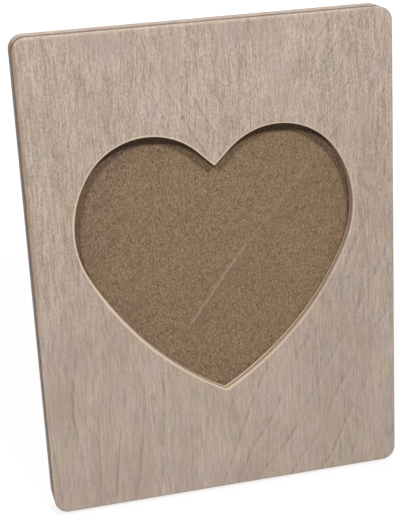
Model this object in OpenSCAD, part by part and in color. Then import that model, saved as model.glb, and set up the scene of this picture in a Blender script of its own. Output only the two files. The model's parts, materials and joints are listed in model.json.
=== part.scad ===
/* [Photo and boards] */
// Width of the photo that the frame takes
photo_w = 130; // [127:1:180]
// Height of the photo that the frame takes
photo_h = 180; // [160:1:240]
// Thickness of the clear glazing sheet
glazing_t = 2; // [1:0.5:3]
// Thickness of the hardboard backing
backing_t = 3; // [2:0.5:4]
// Corner radius of the glazing and the backing
board_corner_r = 2; // [1:0.5:4]
// Play of the glazing and the backing in the pocket, on each side
board_play = 0.5; // [0.3:0.1:1]

/* [Wooden body] */
// Width of the rails around the photo
rail_w = 15; // [13:0.5:30]
// Thickness of the plywood front panel
panel_t = 4.5; // [3:0.5:8]
// Corner radius of the wooden body
corner_r = 6; // [3:0.5:12]
// Corner radius of the ledge's outer wall
ledge_corner_r = 4; // [2:0.5:6]

/* [Heart window] */
// Distance of each lobe's centre from the middle line
lobe_x = 28.2; // [24:0.2:29]
// Height of the lobes' centres above the middle of the frame
lobe_z = 29.5; // [20:0.1:40]
// How far a lobe's radius is larger than that distance
lobe_over = 2.4; // [2:0.2:5]
// Rounding at the end of the tongue between the lobes
cleft_r = 0.8; // [0.4:0.1:2]
// Angle at which a lobe passes into the tongue's straight side
cleft_to = 134; // [125:1:142]
// Angle above the horizontal at which a lobe passes into its shoulder
shoulder_from = 34; // [25:1:50]
// How much larger the shoulder's radius is than the lobe's
shoulder_extra = 14; // [8:1:18]
// Angle at which the shoulder passes into the long flank
flank_from = -26; // [-35:1:-15]
// How much larger the flank's radius is than the shoulder's
flank_extra = 93; // [70:1:120]
// Rounding at the bottom tip
tip_r = 1.5; // [0.5:0.5:4]

/* [Stance] */
// How far the face leans back from upright, in degrees
lean = 12; // [9:0.5:15]
// How far the strut opens from the back, in degrees
strut_open = 22; // [18:0.5:28]

/* [Strut] */
// Height of the hinge axis above the middle of the frame
hinge_up = 60; // [40:1:66]
// Thickness of the strut
strut_t = 3; // [2:0.5:3]
// Width of the strut at its top
strut_top_w = 36; // [32:1:50]
// Width of the strut at its foot
strut_foot_w = 56; // [40:1:80]
// Width of the arch between the strut's two toes
arch_w = 32; // [16:1:36]
// Height of that arch
arch_rise = 3; // [1:0.5:6]
// Room beside the folded strut in the notch of the bottom rail
notch_play = 2; // [1:0.5:5]
// Room between the folded strut's rivets and the back of the frame
fold_room = 0.3; // [0.2:0.1:2]

/* [Hinge] */
// Width of the hinge
hinge_w = 20; // [18:1:28]
// Height of each hinge leaf
leaf_h = 15; // [12:1:20]
// Thickness of the hinge leaves
leaf_t = 0.6; // [0.5:0.1:0.7]
// Outer radius of the hinge knuckles
knuckle_r = 1.5; // [1.4:0.1:1.6]
// Width of the strut leaf's knuckle
mid_knuckle_w = 8; // [6:0.5:10]
// Radius of the hinge pin
pin_r = 0.75; // [0.6:0.05:0.9]
// Radius of the pin's upset ends
pin_head_r = 1.1; // [1:0.1:1.3]
// Length of each upset end
pin_head_t = 0.5; // [0.4:0.1:0.8]
// Radius of the rivets' shanks
rivet_r = 1.2; // [1:0.1:1.5]
// Radius of the rivets' heads
rivet_head_r = 2.3; // [2:0.1:2.6]
// Height of the rivets' heads
rivet_head_t = 0.8; // [0.5:0.1:0.9]
// Distance of each rivet from the hinge's middle line
rivet_x = 6; // [4:0.5:7]

/* [Turn buttons] */
// Length of a turn button from its pivot to its tip
button_reach = 12; // [10:0.5:16]
// Width of a turn button
button_w = 6; // [5:0.5:8]
// Room on the ledge on each side of a turn button
button_side = 0.75; // [0.5:0.25:2]
// Thickness of a turn button
button_t = 1; // [0.8:0.1:1.5]
// Height of the upper and lower buttons' pivots from the middle
button_up = 55; // [30:1:70]
// Radius of the button screws
screw_r = 1.25; // [1:0.05:1.5]
// Radius of the screws' heads
screw_head_r = 2.5; // [2:0.1:3]
// Height of the screws' heads
screw_head_t = 1.6; // [1.2:0.1:2]
// Wood left in front of the screws' tips
screw_under = 0.5; // [0.2:0.1:1]
// Width of the screwdriver slot
slot_w = 0.7; // [0.5:0.1:1]

/* [Hidden] */
$fn = 64;
e = 0.01;                 // small overlap so that cuts go right through
rub = 0.1;                // gap between flat pieces that slide on each other
shaft_play = 0.05;        // radial play of a shaft in its hole
side_play = 0.2;          // side gap between hinge knuckles
fork_side = 0.6;          // gap between the pin's ends and the strut
knuckle_room = 0.5;       // gap between the knuckles and the plates beside them
leaf_gap = 0.3;           // gap between the knuckles and the backing
stop_gap = 0.05;          // gap left at the strut's stop
arc_step = 2;             // degrees between the points of an arc

// The strut's inner and outer faces, measured back from the hinge axis
strut_in = leaf_t - knuckle_r;
strut_out = strut_in + strut_t;

// Outer size, and the depth of each layer behind the front face
frame_w = photo_w + 2 * rail_w;
frame_h = photo_h + 2 * rail_w;
backing_d = panel_t + glazing_t;
ledge_d = backing_d + backing_t;
axis_d = ledge_d + leaf_gap + knuckle_r;
recess_t = axis_d - ledge_d + strut_out + rivet_head_t + fold_room;
total_t = ledge_d + recess_t;
ledge_w = button_w + 2 * button_side;
pocket_w = photo_w + 2 * board_play;
pocket_h = photo_h + 2 * board_play;
recess_w = pocket_w + 2 * ledge_w;
recess_h = pocket_h + 2 * ledge_w;

// Height of the hinge axis above the table, and the strut's size from it
axis_h = (hinge_up + frame_h / 2) * cos(lean) + (total_t - axis_d) * sin(lean);
strut_lean = strut_open - lean;
strut_len = (axis_h + strut_out * sin(strut_lean)) / cos(strut_lean);
heel = (axis_d - ledge_d + strut_in * cos(strut_open) - stop_gap) / sin(strut_open);
fork_w = hinge_w + 2 * (pin_head_t + fork_side);
fork_down = knuckle_r + knuckle_room;
leaf_clear = knuckle_r + knuckle_room;
rivet_z = leaf_clear + leaf_h / 2;

// Height of the frame's middle, and the middle of the footprint
lift = frame_h / 2 * cos(lean) + total_t * sin(lean);
y_front = -frame_h / 2 * sin(lean);
y_back = hinge_up * sin(lean) + axis_d * cos(lean) + axis_h * tan(strut_lean)
    + strut_out / cos(strut_lean);
y_mid = (y_front + y_back) / 2;

button_x = pocket_w / 2 + ledge_w / 2;
button_d = ledge_d + rub;
screw_in = ledge_d - panel_t - screw_under;
screw_head_d = button_d + button_t + rub;

// Point at an angle and distance from a centre, and an arc of such points
function polar(c, r, a) = [c[0] + r * cos(a), c[1] + r * sin(a)];
function arc(c, r, from, to) =
    let (n = max(1, ceil(abs(to - from) / arc_step)))
    [for (i = [0:n]) polar(c, r, from + (to - from) * i / n)];

// Centres of the heart's arcs on the right side, from the cleft down to the tip
lobe_r = lobe_x + lobe_over;
shoulder_r = lobe_r + shoulder_extra;
flank_r = shoulder_r + flank_extra;
lobe_c = [lobe_x, lobe_z];
shoulder_c = polar(lobe_c, -shoulder_extra, shoulder_from);
flank_c = polar(shoulder_c, -flank_extra, flank_from);
cleft_c = [0, lobe_z + (lobe_r + cleft_r + lobe_x * cos(cleft_to)) / sin(cleft_to)];
tip_c = [0, flank_c[1] - sqrt(pow(flank_r - tip_r, 2) - pow(flank_c[0], 2))];
tip_a = atan2(tip_c[1] - flank_c[1], -flank_c[0]);

function heart_half() = concat(
    arc(cleft_c, cleft_r, -90, cleft_to - 180),
    arc(lobe_c, lobe_r, cleft_to, shoulder_from),
    arc(shoulder_c, shoulder_r, shoulder_from, flank_from),
    arc(flank_c, flank_r, flank_from, tip_a),
    arc(tip_c, tip_r, tip_a, -90));

module heart() {
    half = heart_half();
    for (side = [-1, 1])
        polygon([for (p = half) [side * p[0], p[1]]]);
}

module rounded(w, h, r) {
    square([w - 2 * r, h], center = true);
    square([w, h - 2 * r], center = true);
    for (x = [-1, 1], z = [-1, 1])
        translate([x * (w / 2 - r), z * (h / 2 - r)]) circle(r);
}

// A flat outline, seen from the front, made into a plate from depth d to depth d + t
module plate(d, t) {
    translate([0, d + t, 0]) rotate([90, 0, 0]) linear_extrude(height = t) children();
}

// A round piece along the depth, from depth d to depth d + t
module along(d, t, r, r_end = 0) {
    translate([0, d, 0]) rotate([-90, 0, 0])
        cylinder(h = t, r1 = r, r2 = r_end > 0 ? r_end : r);
}

// A shallow dome that stands on depth d and rises backwards by t
module dome(d, t, r) {
    big = (r * r + t * t) / (2 * t);
    intersection() {
        translate([0, d + t - big, 0]) rotate([-90, 0, 0]) sphere(big, $fn = 96);
        along(d, t + 1, r);
    }
}

// The whole body leans back and stands on the table at z = 0
module stand() {
    translate([0, -y_mid, lift]) rotate([-lean, 0, 0]) children();
}

// The place of the strut: its own axes lie on the hinge axis
module on_hinge() {
    stand() translate([0, axis_d, hinge_up]) rotate([strut_open, 0, 0]) children();
}

module front_panel() {
    color("#C4B29E") stand() plate(0, panel_t) difference() {
        rounded(frame_w, frame_h, corner_r);
        heart();
    }
}

module rear_frame() {
    notch_w = strut_foot_w + 2 * notch_play;
    cut_t = recess_t + e;
    color("#BBA58B") stand() difference() {
        plate(panel_t, total_t - panel_t) difference() {
            rounded(frame_w, frame_h, corner_r);
            rounded(pocket_w, pocket_h, board_corner_r + board_play);
        }
        plate(ledge_d, cut_t) rounded(recess_w, recess_h, ledge_corner_r);
        // notch that the folded strut lies in
        plate(ledge_d, cut_t) translate([0, -recess_h / 2])
            square([notch_w, 2 * rail_w], center = true);
        for (x = [-1, 1], z = [-1, 1])
            translate([x * button_x, 0, z * button_up])
                along(ledge_d - screw_in - shaft_play, screw_in + 1, screw_r + shaft_play);
    }
}

module glazing() {
    color([0.85, 0.92, 0.94, 0.4]) stand()
        plate(panel_t, glazing_t) rounded(photo_w, photo_h, board_corner_r);
}

module backing_board() {
    color("#836A52") stand() difference() {
        plate(backing_d, backing_t) rounded(photo_w, photo_h, board_corner_r);
        for (x = [-1, 1])
            translate([x * rivet_x, 0, hinge_up + rivet_z])
                along(backing_d - e, backing_t + 1, rivet_r + shaft_play);
    }
}

module at_button(x, z) {
    stand() translate([x * button_x, 0, z * button_up]) children();
}

module turn_button(x, z) {
    finger = button_reach - button_w / 2;
    color("#B9B4A6") at_button(x, z) difference() {
        plate(button_d, button_t) {
            circle(button_w / 2);
            translate([-x * finger, 0]) circle(button_w / 2);
            translate([-x * finger / 2, 0]) square([finger, button_w], center = true);
        }
        along(button_d - 1, button_t + 2, screw_r + shaft_play);
    }
}

module button_screw(x, z) {
    tip = 1.2;
    rim = screw_head_t / 2;
    color("#C9C6BE") at_button(x, z) difference() {
        union() {
            along(ledge_d - screw_in + tip, screw_head_d - ledge_d + screw_in - tip + e, screw_r);
            along(ledge_d - screw_in, tip + e, screw_r / 4, screw_r);
            along(screw_head_d, rim + e, screw_head_r);
            dome(screw_head_d + rim, screw_head_t - rim, screw_head_r);
        }
        translate([0, screw_head_d + rim + screw_head_t / 2, 0])
            cube([2 * screw_head_r + 1, screw_head_t, slot_w], center = true);
    }
}

module strut() {
    arch_r = (arch_w * arch_w / 4 + arch_rise * arch_rise) / (2 * arch_rise);
    color("#7B624A") on_hinge() difference() {
        plate(strut_in, strut_t) difference() {
            polygon([[-strut_top_w / 2, heel], [strut_top_w / 2, heel],
                [strut_foot_w / 2, -strut_len], [-strut_foot_w / 2, -strut_len]]);
            translate([-fork_w / 2, -fork_down]) square([fork_w, fork_down + heel + 1]);
            translate([0, arch_rise - arch_r - strut_len]) circle(arch_r, $fn = 128);
        }
        for (x = [-1, 1])
            translate([x * rivet_x, 0, -rivet_z])
                along(strut_in - 1, strut_t + 2, rivet_r + shaft_play);
        // both toes are cut level with the table
        rotate([-strut_lean, 0, 0]) translate([-strut_foot_w, -strut_len / 2, -axis_h - strut_len])
            cube([2 * strut_foot_w, strut_len, strut_len]);
    }
}

// A round piece across the frame, centred on the hinge axis, from x to x + w
module across(x, w, r) {
    translate([x, 0, 0]) rotate([0, 90, 0]) cylinder(h = w, r = r);
}

// The holes for a leaf's pair of rivets, at height z from the hinge axis
module rivet_holes(z) {
    for (x = [-1, 1])
        translate([x * rivet_x, 0, z])
            along(-knuckle_r - 1, 2 * knuckle_r + 2, rivet_r + shaft_play);
}

module hinge_board_leaf() {
    outer_w = (hinge_w - mid_knuckle_w) / 2 - side_play;
    inner = ledge_d - axis_d;
    color("#B9B4A6") stand() translate([0, axis_d, hinge_up]) difference() {
        union() {
            plate(inner, leaf_t) translate([-hinge_w / 2, leaf_clear]) square([hinge_w, leaf_h]);
            for (x = [-hinge_w / 2, hinge_w / 2 - outer_w]) {
                plate(inner, leaf_t) translate([x, 0]) square([outer_w, leaf_clear + e]);
                across(x, outer_w, knuckle_r);
            }
        }
        across(-hinge_w, 2 * hinge_w, pin_r + shaft_play);
        rivet_holes(rivet_z);
    }
}

module hinge_strut_leaf() {
    color("#B9B4A6") on_hinge() difference() {
        union() {
            plate(-knuckle_r, leaf_t)
                translate([-hinge_w / 2, -leaf_clear - leaf_h]) square([hinge_w, leaf_h]);
            plate(-knuckle_r, leaf_t)
                translate([-mid_knuckle_w / 2, -leaf_clear - e]) square([mid_knuckle_w, leaf_clear + e]);
            across(-mid_knuckle_w / 2, mid_knuckle_w, knuckle_r);
        }
        across(-hinge_w, 2 * hinge_w, pin_r + shaft_play);
        rivet_holes(-rivet_z);
    }
}

module hinge_pin() {
    reach = hinge_w / 2 + shaft_play;
    color("#9D9A92") stand() translate([0, axis_d, hinge_up]) {
        across(-reach - e, 2 * (reach + e), pin_r);
        across(reach, pin_head_t, pin_head_r);
        across(-reach - pin_head_t, pin_head_t, pin_head_r);
    }
}

module rivet(d, t) {
    along(d, t + e, rivet_r);
    dome(d + t, rivet_head_t, rivet_head_r);
}

module board_rivet(x) {
    color("#C9C6BE") stand() translate([x * rivet_x, 0, hinge_up + rivet_z])
        rivet(backing_d, backing_t + leaf_t);
}

module strut_rivet(x) {
    color("#C9C6BE") on_hinge() translate([x * rivet_x, 0, -rivet_z])
        rivet(-knuckle_r, leaf_t + strut_t);
}

front_panel();
rear_frame();
glazing();
backing_board();
turn_button(-1, 1);  // turn_button_upper_left
turn_button(1, 1);  // turn_button_upper_right
turn_button(-1, -1);  // turn_button_lower_left
turn_button(1, -1);  // turn_button_lower_right
button_screw(-1, 1);  // button_screw_upper_left
button_screw(1, 1);  // button_screw_upper_right
button_screw(-1, -1);  // button_screw_lower_left
button_screw(1, -1);  // button_screw_lower_right
strut();
hinge_board_leaf();
hinge_strut_leaf();
hinge_pin();
board_rivet(-1);  // board_rivet_left
board_rivet(1);  // board_rivet_right
strut_rivet(-1);  // strut_rivet_left
strut_rivet(1);  // strut_rivet_right
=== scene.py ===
"""A plywood photo frame with a heart shaped window, a clear sheet, a hardboard back and an easel strut."""

import json
import math

import bmesh
import bpy
from bpy.props import FloatProperty, FloatVectorProperty, IntProperty, PointerProperty
from mathutils import Matrix, Vector, noise
from mathutils.geometry import tessellate_polygon

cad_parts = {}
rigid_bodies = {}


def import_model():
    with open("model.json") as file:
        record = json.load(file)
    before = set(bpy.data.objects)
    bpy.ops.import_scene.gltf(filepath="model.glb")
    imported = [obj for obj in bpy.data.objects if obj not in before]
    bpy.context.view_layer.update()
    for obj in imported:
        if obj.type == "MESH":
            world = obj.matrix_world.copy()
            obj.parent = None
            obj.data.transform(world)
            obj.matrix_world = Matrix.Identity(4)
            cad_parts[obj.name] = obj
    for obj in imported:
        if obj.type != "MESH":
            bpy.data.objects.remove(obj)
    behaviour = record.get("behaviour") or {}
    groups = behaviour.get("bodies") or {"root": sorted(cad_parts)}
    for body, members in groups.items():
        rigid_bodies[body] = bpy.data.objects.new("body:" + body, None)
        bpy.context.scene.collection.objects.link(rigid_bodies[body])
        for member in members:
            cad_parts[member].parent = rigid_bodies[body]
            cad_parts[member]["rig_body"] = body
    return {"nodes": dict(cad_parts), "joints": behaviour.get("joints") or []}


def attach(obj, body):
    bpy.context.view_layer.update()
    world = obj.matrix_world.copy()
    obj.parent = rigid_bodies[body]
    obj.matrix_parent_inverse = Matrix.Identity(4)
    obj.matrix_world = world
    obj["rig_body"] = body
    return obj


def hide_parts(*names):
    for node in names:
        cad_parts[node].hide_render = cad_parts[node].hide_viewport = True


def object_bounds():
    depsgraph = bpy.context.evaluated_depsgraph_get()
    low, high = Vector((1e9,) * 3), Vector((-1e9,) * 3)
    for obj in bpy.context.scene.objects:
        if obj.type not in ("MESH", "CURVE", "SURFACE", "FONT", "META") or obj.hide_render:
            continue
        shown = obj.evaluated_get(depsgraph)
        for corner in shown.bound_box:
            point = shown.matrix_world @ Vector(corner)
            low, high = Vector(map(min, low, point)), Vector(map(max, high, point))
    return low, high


bl_info = {
    "name": "Heart Photo Frame",
    "version": (1, 0, 0),
    "blender": (4, 5, 0),
    "location": "3D View > Sidebar > Photo Frame",
    "description": "Builds a plywood photo frame with a heart window and an easel strut",
    "category": "Object",
}

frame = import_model()
CAD_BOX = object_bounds()

# Every outline below is drawn in millimetres and set in place by a matrix
MM = 0.001
# The angle between an arc's points, and the steps of a rounded edge, a turned solid, a dome and a roll
ARC_STEP = math.radians(3)
ARRIS_STEPS = 5
TURN_STEPS = 48
DOME_STEPS = 8
ROLL_STEPS = 30
# Longest stretch of a straight edge between two points of its outline
EDGE_STEP = 4.0
# How far a cutting shape runs past the solid that it cuts, and the corner radius of a sharp cut
PAST = 1.0
SHARP = 0.01
# Points nearer than this are one, and a sharp corner's inset is divided by no less than this share
SAME_SPOT = 1e-4
LEAST_MITRE = 0.4
# Edges that turn by more than this are sharp enough to soften
SHARP_TURN = math.radians(38)
# How quickly the uneven sanding changes along an edge, for each millimetre
SANDING_PACE = 0.07
# Heights between which the window leans over, and between which its left edge is sanded wider
LEAN_FROM = 15.0
LEAN_TO = -25.0
SANDED_FROM = -52.0
SANDED_TO = 12.0


def joint(name):
    """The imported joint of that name."""
    return next(j for j in frame["joints"] if j["name"] == name)


def body_of(node):
    """The name of the body that holds a CAD node."""
    return frame["nodes"][node]["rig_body"]


def spans(place, node):
    """Lowest and highest corner of a CAD node along a place's own axes, in millimetres."""
    into = place.inverted()
    points = [into @ v.co for v in frame["nodes"][node].data.vertices]
    low = Vector([min(p[i] for p in points) for i in range(3)])
    high = Vector([max(p[i] for p in points) for i in range(3)])
    return low, high


def pivot(name):
    """Where a joint lies along the leaning body's axes."""
    return PANEL.inverted() @ Vector(joint(name)["pos_m"])


def face_size(low, high):
    """Width and height between two corners."""
    return high.x - low.x, high.z - low.z


def panel_place():
    """Axes of the leaning body: x across, y back from the front face, z up from its middle."""
    normal = Vector(joint("button_turn_upper_left")["axis"])
    turned_back = Matrix.Rotation(math.atan2(normal.z, normal.y), 4, "X") @ Matrix.Scale(MM, 4)
    low, high = spans(turned_back, "front_panel")
    return turned_back @ Matrix.Translation((0, low.y, (low.z + high.z) / 2))


PANEL = panel_place()
STRUT_OPEN = math.radians(joint("strut_fold")["range_deg"][1])
HINGE_AT = pivot("strut_fold")
HINGE = PANEL @ Matrix.Translation(HINGE_AT)
LEG = HINGE @ Matrix.Rotation(STRUT_OPEN, 4, "X")

FRONT_LOW, FRONT_HIGH = spans(PANEL, "front_panel")
REAR_LOW, REAR_HIGH = spans(PANEL, "rear_frame")
SHEET_LOW, SHEET_HIGH = spans(PANEL, "glazing")
BOARD_LOW, BOARD_HIGH = spans(PANEL, "backing_board")
STRUT_LOW, STRUT_HIGH = spans(LEG, "strut")
LEAF_LOW, LEAF_HIGH = spans(HINGE, "hinge_board_leaf")
PIN_HIGH = spans(HINGE, "hinge_pin")[1]
BUTTON_LOW, BUTTON_HIGH = spans(PANEL, "turn_button_upper_left")
SCREW_LOW = spans(PANEL, "button_screw_upper_left")[0]

CORNERS = [(row, side) for row in ("upper", "lower") for side in ("left", "right")]
SIDE_SIGN = {"left": -1, "right": 1}


def length(name, text, default):
    """A length property in metres, from a default in millimetres."""
    return FloatProperty(name=name, description=text, default=default * MM, min=0.0, unit="LENGTH",
                         precision=5)


def angle(name, text, default):
    """An angle property, from a default in degrees."""
    return FloatProperty(name=name, description=text, default=math.radians(default), subtype="ANGLE")


def share(name, text, default):
    """A plain factor from 0 to 1."""
    return FloatProperty(name=name, description=text, default=default, min=0.0, max=1.0)


def colour(name, text, default):
    """A colour property with linear red, green and blue."""
    return FloatVectorProperty(name=name, description=text, default=default, size=3, subtype="COLOR",
                               min=0.0, max=1.0)


def place_of(name, text, default):
    """A place property in metres."""
    return FloatVectorProperty(name=name, description=text, default=default, subtype="XYZ", unit="LENGTH")


def power(name, text, default):
    """A lamp's power in watts."""
    return FloatProperty(name=name, description=text, default=default, min=0.0, unit="POWER")


class HeartWindowSizes(bpy.types.PropertyGroup):
    """Sizes of the heart shaped window"""

    lobe_offset: length("Lobe Offset", "Distance of each lobe's centre from the middle line", 28.2)
    lobe_height: length("Lobe Height", "Height of the lobes' centres above the frame's middle", 29.5)
    lobe_over: length("Lobe Overlap", "How far a lobe's radius is larger than its offset", 2.4)
    cleft_radius: length("Cleft Radius", "Rounding at the end of the tongue between the lobes", 0.8)
    cleft_to: angle("Cleft End", "Angle at which a lobe passes into the tongue's straight side", 134)
    shoulder_from: angle("Shoulder Start", "Angle at which a lobe passes into its shoulder", 34)
    shoulder_extra: length("Shoulder Extra", "How much larger the shoulder's radius is than the lobe's", 14)
    flank_from: angle("Flank Start", "Angle at which the shoulder passes into the flank", -26)
    flank_extra: length("Flank Extra", "How much larger the flank's radius is than the shoulder's", 93)
    tip_radius: length("Tip Radius", "Rounding at the bottom tip", 1.5)
    tip_lean: length("Tip Lean", "How far the lower half was cut to the right of the middle line", 0.8)


class WoodenBodySizes(bpy.types.PropertyGroup):
    """Sizes of the wooden body's corners and edges"""

    corner_radius: length("Corner Radius", "Radius of the body's four corners", 6)
    front_arris: length("Front Arris", "Sanded rounding of the front edges", 0.9)
    window_arris: length("Window Arris", "Sanded rounding of the window's front edge", 1.05)
    front_slope: share("Front Slope", "Depth of the front edges' rounding as a share of its width", 0.5)
    window_slope: share("Window Slope", "Depth of the window edge's rounding as a share of its width", 0.12)
    seam_arris: length("Seam Arris", "Rounding of the edges that meet at the glued seam", 0.22)
    back_arris: length("Back Arris", "Rounding of the back edges", 0.9)
    inner_arris: length("Inner Arris", "Rounding of the edges inside the back", 0.3)
    sanding: share("Sanding", "How unevenly the edges were sanded", 0.3)
    sanded_wider: share("Sanded Wider", "How much wider the window's lower left edge is sanded", 0.75)
    pocket_radius: length("Pocket Radius", "Corner radius of the pocket", 2.5)
    ledge_radius: length("Ledge Radius", "Corner radius of the ledge's outer wall", 4)
    notch_play: length("Notch Play", "Room beside the folded strut in the bottom rail", 2)


class BoardSizes(bpy.types.PropertyGroup):
    """Sizes of the clear sheet, the backing board and the strut"""

    corner_radius: length("Corner Radius", "Corner radius of the sheet and the board", 2)
    sheet_arris: length("Sheet Arris", "Broken edge of the clear sheet", 0.12)
    board_arris: length("Board Arris", "Worn edge of the hardboard", 0.25)
    strut_top: length("Strut Top", "Width of the strut at its top", 36)
    fork_side: length("Fork Room", "Gap between the pin's ends and the strut", 0.6)
    fork_down: length("Fork Depth", "How far the strut's slot reaches below the hinge axis", 2)
    arch_width: length("Arch Width", "Width of the arch between the strut's toes", 32)
    arch_rise: length("Arch Rise", "Height of that arch", 3)


class HardwareSizes(bpy.types.PropertyGroup):
    """Sizes of the hinge, its rivets, the turn buttons and their screws"""

    leaf_height: length("Leaf Height", "Height of each hinge leaf", 15)
    leaf_thickness: length("Leaf Thickness", "Thickness of the hinge's sheet metal", 0.6)
    leaf_clear: length("Leaf Clearance", "Distance from the hinge axis to each leaf's plate", 2)
    leaf_corner: length("Leaf Corner", "Corner radius of the leaves", 1.2)
    knuckle_radius: length("Knuckle Radius", "Outer radius of the rolled knuckles", 1.5)
    middle_knuckle: length("Middle Knuckle", "Width of the strut leaf's knuckle", 8)
    knuckle_gap: length("Knuckle Gap", "Gap between the knuckles", 0.2)
    roll_open: angle("Roll Opening", "Part of a turn that a knuckle's roll leaves open", 38)
    pin_radius: length("Pin Radius", "Radius of the hinge pin", 0.75)
    pin_head: length("Pin Head", "Length of the pin's upset ends", 0.5)
    rivet_offset: length("Rivet Offset", "Distance of each rivet from the middle line", 6)
    rivet_radius: length("Rivet Radius", "Radius of the rivets' shanks", 1.2)
    rivet_head: length("Rivet Head", "Radius of the rivets' heads", 2.3)
    rivet_rise: length("Rivet Rise", "Height of the rivets' heads", 0.8)
    rivet_rim: length("Rivet Rim", "Height of the rim under a rivet's dome", 0.1)
    rivet_chamfer: length("Rivet Chamfer", "Broken edge at the end of a rivet's shank", 0.15)
    hole_play: length("Hole Play", "Play of a shank in its hole", 0.05)
    button_width: length("Button Width", "Width of a turn button", 6)
    button_arris: length("Button Arris", "Rounded edge of a turn button", 0.22)
    screw_radius: length("Screw Radius", "Radius of the button screws", 1.25)
    screw_head: length("Screw Head", "Height of the screws' heads", 1.6)
    screw_rim: length("Screw Rim", "Broken edge under the screws' heads", 0.18)
    screw_point: length("Screw Point", "Length of the screws' pointed ends", 1.2)
    screw_arris: length("Screw Arris", "Rounding of the slot's edges", 0.06)
    slot_width: length("Slot Width", "Width of the screwdriver slot", 0.7)


class WoodLook(bpy.types.PropertyGroup):
    """Colours and grain of the birch plywood"""

    light: colour("Light Veneer", "Pale wood between the fibres", (0.618, 0.522, 0.430))
    dark: colour("Dark Veneer", "Darker fibres of the veneer", (0.318, 0.255, 0.203))
    blush: colour("Blush", "Pink grey patches in the veneer", (0.460, 0.362, 0.314))
    pore: colour("Pore", "Short open pores and the growth lines", (0.215, 0.160, 0.122))
    # Fresh Cut is also the colour of the window's pale rim, which is partly a painted highlight
    fresh: colour("Fresh Cut", "Sanded edges and cut veneer", (0.780, 0.635, 0.470))
    # Painted light: the window's wall is painted paler than the cut wood, for the light that falls on it
    sawn: colour("Sawn Wall", "Clean sawn plies on the wall of the window", (0.900, 0.750, 0.560))
    cross: colour("Cross Ply", "Plies that show their end grain", (0.250, 0.165, 0.110))
    # At the seam this colour is partly painted shade in the gap between the layers
    glue: colour("Glue", "Dark lines between the plies and at the seam", (0.080, 0.047, 0.032))
    fibre_width: length("Fibre Width", "Spacing of the veneer's fine streaks", 0.5)
    pore_length: length("Pore Length", "Length of the short pores", 3.4)
    ring_spacing: length("Ring Spacing", "Spacing of the growth lines on the face", 12.5)
    ply: length("Front Ply", "Thickness of one ply of the front panel", 1.5)
    rear_ply: length("Rear Ply", "Thickness of one ply of the rear frame", 2.0)


class BoardLook(bpy.types.PropertyGroup):
    """Colours of the hardboard and the mark on it"""

    mid: colour("Hardboard", "Mean colour of the hardboard", (0.284, 0.191, 0.108))
    dark: colour("Dark Fibre", "Dark fibres in the hardboard", (0.106, 0.065, 0.036))
    light: colour("Light Fibre", "Pale fibres in the hardboard", (0.462, 0.333, 0.196))
    bruise: colour("Bruise", "Purple brown patches", (0.228, 0.147, 0.110))
    # A pale straight line drawn on the board's front
    mark: colour("Mark", "Pale line pressed into the hardboard", (0.420, 0.300, 0.240))
    cut: colour("Cut Edge", "Sawn edges of the hardboard", (0.300, 0.200, 0.120))
    fibre: length("Fibre", "Size of the hardboard's fibres", 0.52)


class MetalLook(bpy.types.PropertyGroup):
    """Finish of the plated steel"""

    bright: colour("Bright Zinc", "Bright zinc plating", (0.500, 0.488, 0.455))
    dull: colour("Dull Zinc", "Handled, duller plating", (0.270, 0.258, 0.232))
    steel: colour("Screw Steel", "Brighter steel of screws and rivets", (0.640, 0.630, 0.605))


class StageLook(bpy.types.PropertyGroup):
    """Camera, floor and lights"""

    camera_place: place_of("Camera Place", "Where the camera stands", (-0.1304, -0.4886, 0.3938))
    camera_aim: FloatVectorProperty(name="Camera Aim", description="The way that the camera looks",
                                    default=(0.2158, 0.8377, -0.5016), subtype="DIRECTION")
    focal: FloatProperty(name="Focal Length", description="Focal length in millimetres for a 36 mm side",
                         default=91.78, min=1.0)
    floor_colour: colour("Floor", "Colour of the pale floor", (0.22, 0.22, 0.22))
    ambient: colour("Ambient", "Soft light from all round", (0.115, 0.070, 0.068))
    left_power: power("Left Power", "Power of the light from the upper left", 7.9)
    right_power: power("Right Power", "Power of the light from the upper right", 8.5)
    back_power: power("Back Power", "Power of the wide light above and behind the frame", 8.4)
    left_place: place_of("Left Place", "Where the left light stands", (-0.51, -0.77, 1.03))
    right_place: place_of("Right Place", "Where the right light stands", (0.2, -0.83, 1.09))
    back_place: place_of("Back Place", "Where the light behind the frame stands", (0.1, 0.85, 1.05))
    left_size: length("Left Size", "Side of the left light", 130)
    right_size: length("Right Size", "Side of the right light", 130)
    back_size: length("Back Size", "Side of the light behind the frame", 800)
    floor_side: length("Floor Side", "Half of the floor's side", 6000)
    seed: IntProperty(name="Seed", description="Choice of the uneven sanding", default=7, min=0)


GROUPS = {
    "heart_sizes": HeartWindowSizes,
    "wood_sizes": WoodenBodySizes,
    "board_sizes": BoardSizes,
    "hardware_sizes": HardwareSizes,
    "wood_look": WoodLook,
    "board_look": BoardLook,
    "metal_look": MetalLook,
    "stage_look": StageLook,
}


def settings(group):
    """One of the scene's property groups."""
    return getattr(bpy.context.scene, "photo_frame_" + group)


class Millimetres:
    """Reads the lengths of one of the scene's property groups in millimetres."""

    def __init__(self, group):
        self.group = group

    def __getattr__(self, name):
        return getattr(settings(self.group), name) / MM


HEART = Millimetres("heart_sizes")
WOOD = Millimetres("wood_sizes")
BOARD = Millimetres("board_sizes")
HARDWARE = Millimetres("hardware_sizes")
VENEER = Millimetres("wood_look")
FIBRES = Millimetres("board_look")


def in_scene(name, data):
    """A new object in the scene."""
    made = bpy.data.objects.new(name, data)
    bpy.context.scene.collection.objects.link(made)
    return made


# Outlines


def polar(centre, radius, turn):
    """Point at a distance and angle from a centre."""
    return Vector((centre[0] + radius * math.cos(turn), centre[1] + radius * math.sin(turn)))


def arc(centre, radius, start, end, step=ARC_STEP):
    """Points of an arc from one angle to another, both ends included."""
    count = max(1, math.ceil(abs(end - start) / step))
    return [polar(centre, radius, start + (end - start) * i / count) for i in range(count + 1)]


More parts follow.
